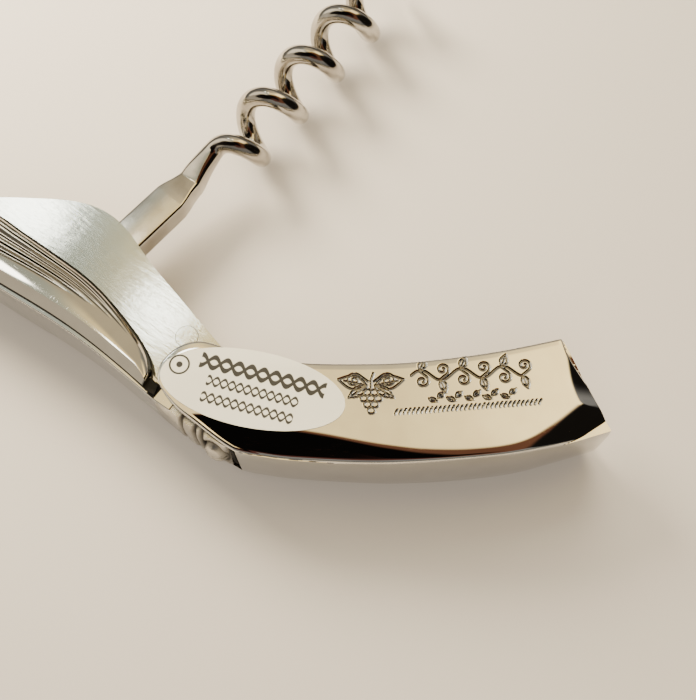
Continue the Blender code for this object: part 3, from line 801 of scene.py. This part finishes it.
def make_worm(metal):
    stations = [row[0] for row in TANG_SECTIONS[:3]]
    stations += list(np.arange(0.0, COIL_END - 0.01, 0.16)) + [COIL_END]
    high = Vector((0.0, 0.0, 1.0))
    rows = []
    for along in stations:
        centre = worm_centre(along)
        ahead = (worm_centre(along + 0.02) - worm_centre(along - 0.02)).normalized()
        high = (high - ahead * high.dot(ahead)).normalized()
        wide = high.cross(ahead)
        half_width, half_height, corner = worm_section(along)
        rows.append([centre + wide * a + high * b
                     for a, b in rounded_box(half_width, half_height, corner)])
    builder = bmesh.new()
    verts = grid_faces(builder, rows, closed=True)
    builder.faces.new(verts[0][::-1])
    builder.faces.new(verts[-1])
    piece = piece_from("worm_and_tang", builder, 36.0, merge=0.0005)
    return place(piece, WORM_FRAME, "worm", "worm_steel", metal, ("worm",))


# ------------------------ lever

BEVEL_WIDTH = [(-6.0, 0.0), (-2.0, 0.0), (0.0, 1.9), (3.0, 3.9), (8.0, 4.6), (16.0, 4.1),
               (24.0, 2.8), (29.0, 2.0), (35.0, 1.5), (41.0, 1.7), (45.0, 3.0), (50.0, 5.3),
               (56.0, 7.0)]
HEEL_BAND = [(-6.0, 0.9), (3.0, 0.8), (8.0, 0.35), (14.0, 0.0), (60.0, 0.0)]
BEVEL_SLOPE = 0.40
EDGE_ROUND = 0.55
BEVEL_TURN = 2.1
LIP_WIDTH = 1.2
LIP_SLOPE = 0.06
LIP_TURN = 0.35
END_SLOPE = 0.40
END_TURN = 1.3
CORNER_ROUND = 0.25
ENGRAVING_DEPTH = 0.12
WALL_CROWN = 0.16


def sloped(distance, width, slope, soft):
    """Drop below a face near its edge: flat, then a soft turn into a slope towards the edge."""
    into = np.clip(width - distance, 0.0, None)
    turned = np.where(into < soft, into ** 2 / (2 * soft), into - soft / 2)
    return slope * turned


def edge_round(distance, radius):
    into = np.clip(radius - distance, 0.0, radius)
    return radius - np.sqrt(np.clip(radius ** 2 - into ** 2, 0.0, None))


def tip_x(y):
    """How far the lever reaches at a height over its hinge line."""
    curve = np.array(smooth(LEVER_TIP, 12))[::-1]
    return np.interp(y, curve[:, 1], curve[:, 0])


def cheek_height(x, y, to_back, to_belly):
    """Height of a cheek's outer face over the middle plane."""
    to_end = np.clip(tip_x(y) - x, 0.0, None)
    end_width = 0.7 + 3.4 * ease(3.0, -6.0, y)
    width = np.maximum(line_at(BEVEL_WIDTH, x), 0.0)
    band = np.minimum(line_at(HEEL_BAND, x), width)
    back_drop = sloped(np.maximum(to_back, band), width, BEVEL_SLOPE, BEVEL_TURN)
    end_drop = sloped(to_end, end_width, END_SLOPE, END_TURN)
    height = HALF - (back_drop ** 3 + end_drop ** 3) ** (1.0 / 3.0)
    height -= edge_round(to_back, EDGE_ROUND) + edge_round(to_end, CORNER_ROUND)
    height -= sloped(to_belly, LIP_WIDTH, LIP_SLOPE, LIP_TURN) + edge_round(to_belly, LIP_TURN)
    return np.maximum(height, CHEEK_INNER + 0.02)


def lever_stations():
    """Pairs of belly and back points, round the heel and along the body to the tip."""
    heel = list(zip(evenly(LEVER_BELLY[:6], 60), evenly(LEVER_BACK[:6], 60)))
    belly_start, back_start = LEVER_BELLY[5][0], LEVER_BACK[5][0]
    belly_end, back_end = LEVER_TIP[0][0], LEVER_TIP[-1][0]
    body = []
    for share in np.linspace(0.0, 1.0, 420)[1:]:
        x_belly = belly_start + (belly_end - belly_start) * share
        x_back = back_start + (back_end - back_start) * share
        body.append((np.array([x_belly, line_at(LEVER_BELLY[4:], x_belly)]),
                     np.array([x_back, line_at(LEVER_BACK[4:], x_back)])))
    return heel, body


def stroke_depth(points, strokes):
    """Share of full depth at each point, from its distance to the engraver's strokes."""
    depth = np.zeros(len(points))
    for line, width in strokes:
        line = np.array(line)
        for start, end in zip(line, line[1:]):
            run = end - start
            low = np.minimum(start, end) - width
            high = np.maximum(start, end) + width
            near = np.all((points >= low) & (points <= high), axis=1)
            if not near.any():
                continue
            offset = points[near] - start
            t = np.clip(offset @ run / max(run @ run, 1e-9), 0.0, 1.0)
            gap = np.hypot(*(offset - t[:, None] * run).T)
            cut = np.clip(1.0 - (gap / width) ** 2, 0.0, 1.0)
            depth[near] = np.maximum(depth[near], cut)
    return depth


def turned(points, centre, degrees, size=1.0):
    a = math.radians(degrees)
    return [(centre[0] + size * (x * math.cos(a) - y * math.sin(a)),
             centre[1] + size * (x * math.sin(a) + y * math.cos(a))) for x, y in points]


def leaf(foot, heading, length, width=0.27, pen=0.12):
    """A pointed leaf with a middle vein."""
    share = np.linspace(0.0, 1.0, 12)
    bulge = width * np.sin(np.pi * share) * (1.0 - 0.35 * share)
    strokes = [(turned(zip(share, sign * bulge), foot, heading, length), pen) for sign in (1, -1)]
    return strokes + [(turned([(0.0, 0.0), (0.8, 0.0)], foot, heading, length), pen * 0.8)]


def curl(foot, heading, size, hand, pen=0.15):
    """A tendril that runs out and rolls up, to the left for hand 1 and the right for -1."""
    points = [(0.0, 0.0)]
    for step in range(26):
        turn = step / 25
        angle = math.radians(-90.0 + 470.0 * turn)
        radius = 0.5 * (1.0 - 0.78 * turn)
        points.append((0.75 + radius * math.cos(angle), hand * (0.5 + radius * math.sin(angle))))
    return [(turned(points, foot, heading, size), pen)]


def bunch(top, size, rows=(4, 3, 2, 1), pen=0.11):
    """A bunch of grapes in rows that get shorter downwards."""
    strokes = []
    for row, count in enumerate(rows):
        for index in range(count):
            centre = (top[0] + (index - (count - 1) / 2) * size * 2.1, top[1] - row * size * 1.85)
            ring = circle(centre, size, 16)
            strokes.append((ring + ring[:1], pen))
    return strokes


CREST = (22.4, -3.9)
STEM_START, STEM_END = 27.6, 42.4
STEM_RISE = 0.055
DASH_RISE = 0.075


def crest_strokes():
    """A bunch of grapes between two pairs of vine leaves, with tendrils and a stalk."""
    x, y = CREST
    strokes = bunch(CREST, 0.44)
    for side, start in ((1, 0.0), (-1, 180.0)):
        strokes += leaf((x + side * 0.6, y + 1.0), start + side * 12.0, 3.7, 0.30, 0.15)
        strokes += leaf((x + side * 0.5, y + 0.9), start - side * 34.0, 2.9, 0.26, 0.13)
        strokes += curl((x + side * 0.4, y + 1.5), start + side * 38.0, 2.0, -side, 0.14)
    return strokes + [([(x, y + 0.5), (x, y + 1.7), (x + 0.3, y + 2.6)], 0.16)]


def stem_height(x):
    return -1.7 + STEM_RISE * (x - 27.5) + 0.75 * math.sin((x - 27.5) * 1.18)


def band_strokes():
    """A running scroll with leaves, and under it a row of leaves and a row of fine dashes."""
    strokes = [([(x, stem_height(x)) for x in np.arange(STEM_START, STEM_END, 0.2)], 0.17)]
    for index in range(6):
        x = 28.6 + 2.66 * index
        side = 1 if index % 2 else -1
        strokes += curl((x, stem_height(x)), side * 40.0, 1.7, side, 0.16)
        strokes += leaf((x + 0.2, stem_height(x)), -side * 72.0, 1.75, 0.30, 0.14)
    for index in range(10):
        foot = (29.8 + 1.16 * index, -4.75 + STEM_RISE * (0.3 + 1.16 * index))
        strokes += leaf(foot, 45.0 if index % 2 else -20.0, 1.15, 0.30, 0.10)
    for index in range(34):
        x = 25.4 + 0.56 * index
        y = -6.55 + DASH_RISE * (0.1 + 0.56 * index)
        strokes.append(([(x, y - 0.36), (x + 0.1, y), (x + 0.36, y + 0.36)], 0.085))
    return strokes


def make_lever(metal):
    heel, body = lever_stations()
    stations = heel + body
    across = np.concatenate([np.linspace(0.0, 0.04, 9)[:-1], np.linspace(0.04, 0.62, 100)[:-1],
                             np.linspace(0.62, 0.95, 50)[:-1], np.linspace(0.95, 1.0, 14)])
    points = np.array([[belly + (back - belly) * t for t in across] for belly, back in stations])
    chord = np.array([[np.hypot(*(back - belly))] for belly, back in stations])
    faces = cheek_height(points[..., 0], points[..., 1], chord * (1.0 - across), chord * across)
    strokes = crest_strokes() + band_strokes()
    engraving = stroke_depth(points.reshape(-1, 2), strokes).reshape(faces.shape)
    builder = bmesh.new()
    layer = builder.verts.layers.float.new("engraving")
    for side, cuts in ((1, engraving), (-1, np.zeros(faces.shape))):
        heights = side * (faces - ENGRAVING_DEPTH * cuts)
        verts = grid_faces(builder, [[(p[0], p[1], z) for p, z in zip(row_points, row_heights)]
                                     for row_points, row_heights in zip(points, heights)])
        for row, row_cuts in zip(verts, cuts):
            for vert, cut in zip(row, row_cuts):
                vert[layer] = cut
        close_cheek(builder, stations, verts, len(heel), side)
    close_wall(builder, [heel[-1]] + body)
    piece = piece_from("channel_lever", builder, 40.0, merge=0.002)
    return place(piece, LEVER_FRAME, "lever", "polished_steel", metal, ("lever",))


def inner_row(belly, back, side, wall):
    """The cheek's edge at the belly, its inner face, and its edge at the back or the wall."""
    into = (back - belly) / max(np.hypot(*(back - belly)), 1e-6)
    level = side * CHEEK_INNER
    floor = back - into * WALL if wall else back
    return (belly[0], belly[1], level), (floor[0], floor[1], level), (back[0], back[1], level)


def close_cheek(builder, stations, verts, heel_count, side):
    """A cheek's inner face and its edges; only the heel's inner face reaches the back edge."""
    inside = []
    for belly, back in stations:
        walled = np.hypot(*(back - belly)) > 2 * WALL
        row = inner_row(belly, back, side, walled)
        inside.append([builder.verts.new(Vector(point) * MM) for point in row])
    for index in range(len(stations) - 1):
        near, far = verts[index], verts[index + 1]
        a, b = inside[index], inside[index + 1]
        builder.faces.new((near[0], a[0], b[0], far[0]))
        builder.faces.new((near[-1], a[2], b[2], far[-1]))
        builder.faces.new((a[0], a[1], b[1], b[0]))
        if index < heel_count - 1:
            builder.faces.new((a[1], a[2], b[2], b[1]))
    builder.faces.new(list(verts[-1]) + inside[-1][::-1])


def close_wall(builder, stations):
    """The back wall between the cheeks, with a slight crown outside, from the heel to the tip."""
    outside, floor = [], []
    across = np.linspace(-1.0, 1.0, 25)
    for belly, back in stations:
        into = (back - belly) / np.hypot(*(back - belly))
        inner = back - into * WALL
        crown = [back + into * WALL_CROWN * (1.0 - a ** 4) for a in across]
        outside.append([(p[0], p[1], CHEEK_INNER * a) for p, a in zip(crown, across)])
        floor.append([(inner[0], inner[1], CHEEK_INNER * a) for a in (-1.0, 1.0)])
    outer = grid_faces(builder, outside)
    inner = grid_faces(builder, floor)
    for row, low in ((outer[0], inner[0]), (outer[-1], inner[-1])):
        builder.faces.new(list(row) + [low[1], low[0]])


# ------------------------ label

LABEL_RISE = 0.13
LABEL_RIPPLE = 0.02
LABEL_DROOP = 0.055
PAPER = 0.1


def label_point(share, angle):
    """A place on the label's upper side: it lies on the lever and droops past its belly edge."""
    u, v = share * math.cos(angle), share * math.sin(angle)
    a, b = u * LABEL_HALF[0], v * LABEL_HALF[1]
    x = LABEL_CENTRE[0] + a * math.cos(LABEL_TILT) - b * math.sin(LABEL_TILT)
    y = LABEL_CENTRE[1] + a * math.sin(LABEL_TILT) + b * math.cos(LABEL_TILT)
    free = max(0.0, y - float(line_at(LEVER_BELLY[4:], max(x, 0.0))) + 1.0)
    z = HALF + LABEL_RISE + LABEL_RIPPLE * math.sin(u * 5.0) - LABEL_DROOP * free ** 1.5
    return x, y, z


def make_label(paper):
    rings, spokes = 24, 120
    builder = bmesh.new()
    angles = [2 * math.pi * spoke / spokes for spoke in range(spokes)]
    upper = [[label_point(ring / rings, angle) for angle in angles]
             for ring in range(1, rings + 1)]
    lower = [[(x, y, z - PAPER) for x, y, z in row] for row in upper]
    top, under = grid_faces(builder, upper, closed=True), grid_faces(builder, lower, closed=True)
    builder.faces.new(top[0])
    builder.faces.new(under[0])
    for a in range(spokes):
        b = (a + 1) % spokes
        builder.faces.new((top[-1][a], top[-1][b], under[-1][b], under[-1][a]))
    piece = piece_from("oval_sticker", builder, 50.0)
    return place(piece, LEVER_FRAME, "lever", "label", paper, ("oval_label",))


# ------------------------ blade

BLADE_EDGE = [(-3.2, 1.4), (-1.4, 3.1), (1.6, 2.9), (3.4, 0.6), (6.0, -2.0), (14.0, -3.0),
              (26.0, -3.1), (36.0, -3.2), (40.5, -3.6), (42.0, -4.6)]
BLADE_SPINE = [(-3.2, -1.8), (0.0, -7.6), (6.0, -8.3), (18.0, -8.0), (30.0, -7.3),
               (38.0, -6.1), (42.0, -4.6)]
BLADE_HALF = 1.1
EDGE_HALF = 0.12
SPINE_ROUND = 0.25
NICK_PLACE = (24.0, -6.7)
NICK_HALF = (4.6, 0.5)
NICK_DEPTH = 0.4


def make_blade(metal):
    """A short blade, ground thin towards its edge, with a nail nick near the spine."""
    across = np.linspace(0.0, 1.0, 29)
    rows = []
    for cutting, spine in zip(evenly(BLADE_EDGE, 200), evenly(BLADE_SPINE, 200)):
        x, y = (cutting + (spine - cutting) * across[:, None]).T
        thinned = (1.0 - ease(0.0, 0.62, across)) * ease(6.0, 12.0, x)
        half = BLADE_HALF - (BLADE_HALF - EDGE_HALF) * thinned
        to_spine = np.hypot(*(spine - cutting)) * (1.0 - across)
        half = half - edge_round(to_spine, SPINE_ROUND)
        half = half * np.sqrt(np.clip((42.4 - x) / 9.0, 0.01, 1.0))
        off = ((x - NICK_PLACE[0]) / NICK_HALF[0]) ** 2 + ((y - NICK_PLACE[1]) / NICK_HALF[1]) ** 2
        nick = NICK_DEPTH * np.clip(1.0 - off, 0.0, 1.0)
        rows.append(list(zip(x, y, half - nick)) + list(zip(x, y, -half))[::-1])
    builder = bmesh.new()
    verts = grid_faces(builder, rows, closed=True)
    builder.faces.new(verts[0])
    piece = piece_from("folding_blade", builder, 38.0, merge=0.002)
    return place(piece, BLADE_FRAME, "foil_blade", "blade_steel", metal, ("foil_blade",))


# ------------------------ carried-over nodes

def dress(node, material):
    """Gives a finish to a solid that shows as it was laid up."""
    mesh = frame["nodes"][node].data
    mesh.materials.clear()
    mesh.materials.append(material)


# ------------------------ stage

VIEW_ELEVATION = math.radians(69.0)
VIEW_DISTANCE = 0.130
AIM = HINGES["lever_hinge"] + Vector((0.01944, 0.00444, 0.0))
FOCAL = 48.67


def make_camera():
    lens = bpy.data.cameras.new("view")
    lens.sensor_fit = "HORIZONTAL"
    lens.sensor_width = 36.0
    lens.lens = FOCAL
    lens.clip_start = 0.005
    lens.clip_end = 20.0
    camera = bpy.data.objects.new("view", lens)
    bpy.context.collection.objects.link(camera)
    back = Vector((0.0, -math.cos(VIEW_ELEVATION), math.sin(VIEW_ELEVATION)))
    camera.location = AIM + back * VIEW_DISTANCE
    camera.rotation_mode = "QUATERNION"
    camera.rotation_quaternion = (-back).to_track_quat("-Z", "Y")
    bpy.context.scene.camera = camera


def make_floor():
    mesh = bpy.data.meshes.new("table_top")
    builder = bmesh.new()
    bmesh.ops.create_grid(builder, x_segments=1, y_segments=1, size=3.0)
    builder.to_mesh(mesh)
    builder.free()
    floor = bpy.data.objects.new("table_top", mesh)
    floor.location = (0.0, 0.0, -0.0002)
    bpy.context.collection.objects.link(floor)
    mesh.materials.append(floor_surface())


def area_light(name, place_at, aim_at, size, power, colour):
    """A round lamp that lights the surfaces without showing in the polish."""
    data = bpy.data.lights.new(name, "AREA")
    data.shape = "DISK"
    data.size = size
    data.energy = power
    data.color = colour
    lamp = bpy.data.objects.new(name, data)
    bpy.context.collection.objects.link(lamp)
    lamp.location = place_at
    lamp.rotation_mode = "QUATERNION"
    lamp.rotation_quaternion = (Vector(aim_at) - Vector(place_at)).to_track_quat("-Z", "Y")
    lamp.visible_glossy = False
    return lamp


def make_lights():
    area_light("window", (0.05, 0.27, 0.26), (0.04, 0.0, 0.0), 0.3, 2.0, (1.0, 0.88, 0.70))
    area_light("front_fill", (0.02, -0.42, 0.62), (0.03, 0.0, 0.0), 0.7, 4.0,
               (1.0, 0.94, 0.85))
    area_light("near_lamp", (-0.08, 0.115, 0.118), (-0.012, 0.036, 0.0), 0.09, 1.25,
               (1.0, 0.87, 0.67))


def patch(start, direction, azimuth, elevation, radius, soft):
    """1 inside a round patch of the surroundings, fading out at its edge; angles in degrees."""
    a, e = math.radians(azimuth), math.radians(elevation)
    aim = (math.cos(a) * math.cos(e), math.sin(a) * math.cos(e), math.sin(e))
    lined = start.node("ShaderNodeVectorMath", {"operation": "DOT_PRODUCT"}, output=1,
                       i0=direction, i1=aim)
    outer = math.cos(math.radians(radius + soft))
    inner = math.cos(math.radians(radius))
    return lined.between(outer, inner)


SURROUNDINGS = [  # azimuth, elevation, radius, softness in degrees, colour, strength
    (75.0, 4.0, 20.0, 12.0, (0.15, 0.135, 0.11), 1.0),
    (178.0, 42.0, 24.0, 8.0, (1.0, 0.88, 0.68), 2.1),
    (-160.0, 16.0, 20.0, 7.0, (1.0, 0.88, 0.70), 0.8),
    (62.0, 70.0, 20.0, 7.0, (1.0, 0.76, 0.36), 2.05),
    (40.0, 58.0, 8.0, 14.0, (1.0, 0.75, 0.34), 3.4),
    (88.0, 50.0, 11.0, 6.0, (1.0, 0.84, 0.56), 0.85),
    (124.4, 55.3, 2.2, 0.7, (1.0, 1.0, 0.93), 12.0),
    (116.6, 64.3, 1.5, 0.7, (1.0, 1.0, 0.93), 11.0),
    (-72.0, 66.0, 27.0, 7.0, (0.42, 0.17, 0.09), 0.5),
    (-148.0, 46.0, 20.0, 6.0, (0.015, 0.011, 0.008), 1.0),
    (-112.0, 63.0, 21.0, 6.0, (0.004, 0.0035, 0.003), 1.0),
    (-96.0, 46.0, 9.0, 5.0, (1.0, 0.36, 0.27), 0.14),
    (-10.0, 24.0, 34.0, 9.0, (0.012, 0.010, 0.008), 1.0),
]


def make_surroundings():
    """A room with a warm ceiling, windows and dark spots; plain and pale where it is looked at."""
    world = bpy.data.worlds.new("studio")
    bpy.context.scene.world = world
    world.use_nodes = True
    tree = world.node_tree
    tree.nodes.clear()
    start = Shade(tree, None)
    direction = start.node("ShaderNodeTexCoord", output=0)
    height = start.node("ShaderNodeSeparateXYZ", output=2, Vector=direction)
    low = height.between(0.0, 0.5).mixed((0.20, 0.195, 0.18, 1.0), (0.34, 0.32, 0.29, 1.0))
    room = height.between(0.6, 0.88).mixed(low, (0.72, 0.75, 0.61, 1.0))
    for azimuth, elevation, radius, soft, colour, strength in SURROUNDINGS:
        lit = tuple(part * strength for part in colour) + (1.0,)
        room = patch(start, direction, azimuth, elevation, radius, soft).mixed(room, lit)
    path = start.node("ShaderNodeLightPath", output=0)
    seen = path.mixed(room, (1.5, 1.38, 1.2, 1.0))
    light = start.node("ShaderNodeBackground", Color=seen, Strength=1.0)
    sink = tree.nodes.new("ShaderNodeOutputWorld")
    tree.links.new(light.socket, sink.inputs["Surface"])


def make_pieces():
    polished = polished_steel()
    ground = ground_steel(turn=HANDLE_TURN)
    rivet = polished_steel("rivet_polish", (0.62, 0.625, 0.58), 0.12)
    dark = dark_seam()
    make_liners(ground)
    make_scales(polished_steel("scale_polish", (0.62, 0.585, 0.505)))
    make_spring_head(dull_engraved_steel())
    make_spring_bar(polished)
    make_seams(dark)
    make_worm(worm_steel())
    make_lever(engraved_steel())
    make_label(label_paper())
    make_blade(ground_steel("ground_blade", (0.74, 0.74, 0.73), roughness=0.14))
    make_front_rivet(ground, dark)
    make_heads(ground)
    make_hidden_rivet(ground)
    make_lever_head(ground)
    for node in frame["nodes"]:
        if node.endswith(("_pin", "_rivet")) or "rivet_" in node:
            dress(node, rivet)
        elif "washer" in node or node in ("front_spacer", "blade_spring"):
            dress(node, ground)


make_camera()
make_floor()
make_surroundings()
make_lights()
make_pieces()
